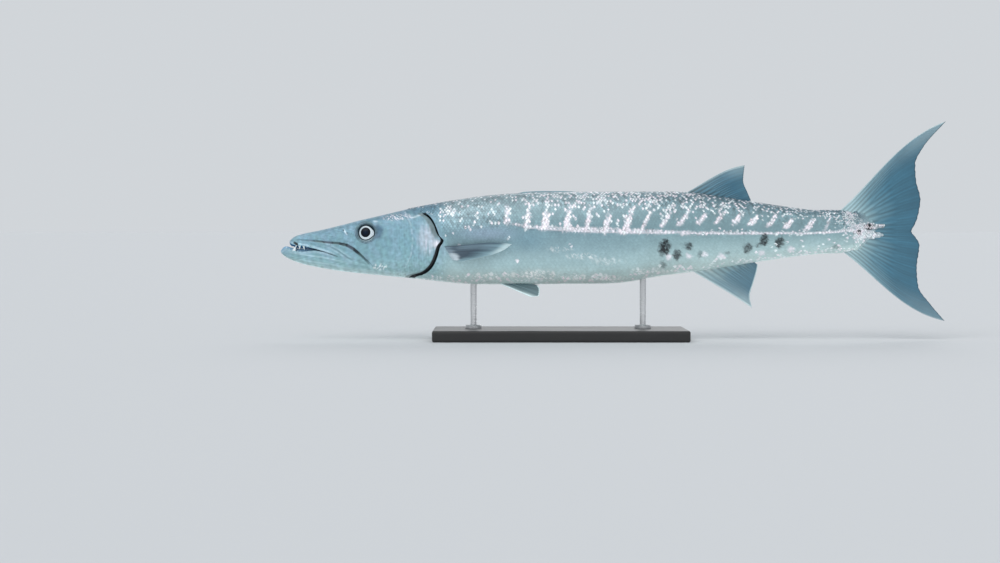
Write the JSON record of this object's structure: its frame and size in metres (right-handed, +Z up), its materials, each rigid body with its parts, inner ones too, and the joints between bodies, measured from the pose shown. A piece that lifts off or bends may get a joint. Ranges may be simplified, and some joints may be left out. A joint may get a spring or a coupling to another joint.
{
  "type": "barracuda model on a display stand",
  "caption": "Life-size still model of a great barracuda, slim and silver with dark blotches and a forked tail, held on a flat stand by short rods.",
  "frame": {"origin": "middle of the whole model's length and width, on the floor under the stand's base", "axes": "+X towards the tail, -Y the fish's left side, +Z up"},
  "size_m": [1.05, 0.15, 0.3454],
  "materials": {
    "silver_skin": "silver fish skin: smooth head, fine overlapping scales on the body, teal to grey with pale bars and black blotches",
    "fin_membrane": "thin grey-blue fin membrane with raised rays",
    "eye_glass": "polished eye, silver iris and dark blue pupil",
    "stand_lacquer": "wooden base in satin black lacquer",
    "stand_steel": "turned steel rods"
  },
  "bodies": {
    "root": {"head": "silver_skin", "upper_jaw": "silver_skin", "lower_jaw": "silver_skin", "gill_cover_left": "silver_skin", "gill_cover_right": "silver_skin", "trunk_front": "silver_skin", "trunk_rear": "silver_skin", "tail_stalk": "silver_skin", "first_dorsal_fin": "fin_membrane", "second_dorsal_fin": "fin_membrane", "anal_fin": "fin_membrane", "caudal_fin_upper": "fin_membrane", "caudal_fin_lower": "fin_membrane", "pectoral_fin_left": "fin_membrane", "pectoral_fin_right": "fin_membrane", "pelvic_fin_left": "fin_membrane", "pelvic_fin_right": "fin_membrane", "eye_left": "eye_glass", "eye_right": "eye_glass", "stand_base": "stand_lacquer", "stand_rod_front": "stand_steel", "stand_rod_rear": "stand_steel"}
  },
  "joints": []
}
